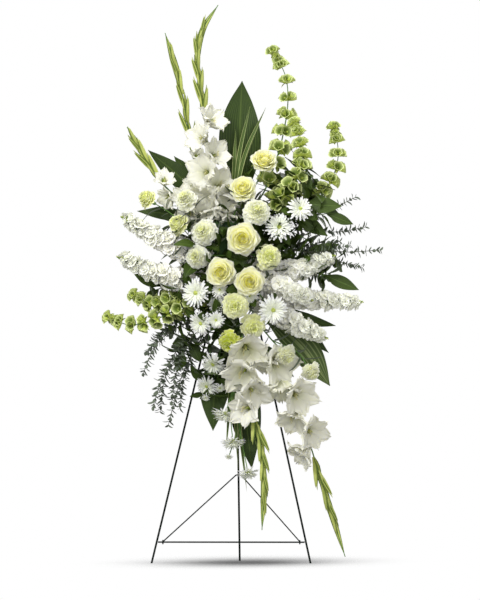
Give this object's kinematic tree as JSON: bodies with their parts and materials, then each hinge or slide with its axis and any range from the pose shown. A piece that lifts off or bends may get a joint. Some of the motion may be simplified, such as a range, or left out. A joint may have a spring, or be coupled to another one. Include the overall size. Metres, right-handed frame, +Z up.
{
  "type": "standing flower spray on easel",
  "caption": "Tall oval spray of white and pale yellow cut flowers and green foliage in floral foam on a folding three-legged wire easel.",
  "frame": {"origin": "on the floor under the middle of the object's box", "axes": "+Z up, the flowers face -Y, +X is to the right seen from the front"},
  "size_m": [0.7722, 0.4774, 1.5696],
  "materials": {
    "easel_wire": "satin",
    "cage_plastic": "matte",
    "foam": "matte",
    "rose_petals": "matte",
    "carnation_petals": "matte",
    "daisy_petals": "matte",
    "gladiolus_petals": "matte",
    "stock_petals": "matte",
    "bell_cups": "matte",
    "broad_leaf": "satin",
    "oval_leaf": "satin",
    "eucalyptus_leaf": "matte",
    "grass_blade": "satin"
  },
  "bodies": {
    "front_frame_and_flowers": {"easel_left_leg": "easel_wire", "easel_right_leg": "easel_wire", "easel_pin_and_hook": "easel_wire", "easel_crossbar": "easel_wire", "foam_cage": "cage_plastic", "floral_foam": "foam", "rose_1": "rose_petals", "rose_2": "rose_petals", "rose_3": "rose_petals", "rose_4": "rose_petals", "rose_5": "rose_petals", "carnation_1": "carnation_petals", "carnation_2": "carnation_petals", "carnation_3": "carnation_petals", "carnation_4": "carnation_petals", "carnation_5": "carnation_petals", "carnation_6": "carnation_petals", "carnation_7": "carnation_petals", "carnation_8": "carnation_petals", "daisy_spray_1": "daisy_petals", "daisy_spray_2": "daisy_petals", "daisy_spray_3": "daisy_petals", "daisy_spray_4": "daisy_petals", "daisy_spray_5": "daisy_petals", "daisy_spray_6": "daisy_petals", "gladiolus_1": "gladiolus_petals", "gladiolus_2": "gladiolus_petals", "gladiolus_3": "gladiolus_petals", "gladiolus_4": "gladiolus_petals", "gladiolus_5": "gladiolus_petals", "stock_1": "stock_petals", "stock_2": "stock_petals", "stock_3": "stock_petals", "stock_4": "stock_petals", "stock_5": "stock_petals", "stock_6": "stock_petals", "bells_1": "bell_cups", "bells_2": "bell_cups", "bells_3": "bell_cups", "bells_4": "bell_cups", "bells_5": "bell_cups", "eucalyptus_1": "eucalyptus_leaf", "eucalyptus_2": "eucalyptus_leaf", "eucalyptus_3": "eucalyptus_leaf", "eucalyptus_4": "eucalyptus_leaf", "aspidistra_1": "broad_leaf", "aspidistra_2": "broad_leaf", "aspidistra_3": "broad_leaf", "aspidistra_4": "broad_leaf", "aspidistra_5": "broad_leaf", "aspidistra_6": "broad_leaf", "salal_1": "oval_leaf", "salal_2": "oval_leaf", "salal_3": "oval_leaf", "grass_1": "grass_blade", "grass_2": "grass_blade"},
    "rear_leg": {"easel_rear_leg": "easel_wire"},
    "brace": {"easel_brace_left": "easel_wire", "easel_brace_right": "easel_wire"}
  },
  "joints": [
    {"name": "rear_leg_fold", "type": "hinge", "parent": "front_frame_and_flowers", "child": "rear_leg", "pos_m": [-0.03675, 0.016, 0.904], "axis": [-1, 0, 0], "range_deg": [0, 18]},
    {"name": "brace_fold", "type": "hinge", "parent": "front_frame_and_flowers", "child": "brace", "pos_m": [-0.03675, -0.1616, 0.059], "axis": [1, 0, 0], "range_deg": [0, 40]}
  ],
  "couplings": [
    {"joint": "brace_fold", "follows": "rear_leg_fold", "ratio": 2.2}
  ]
}
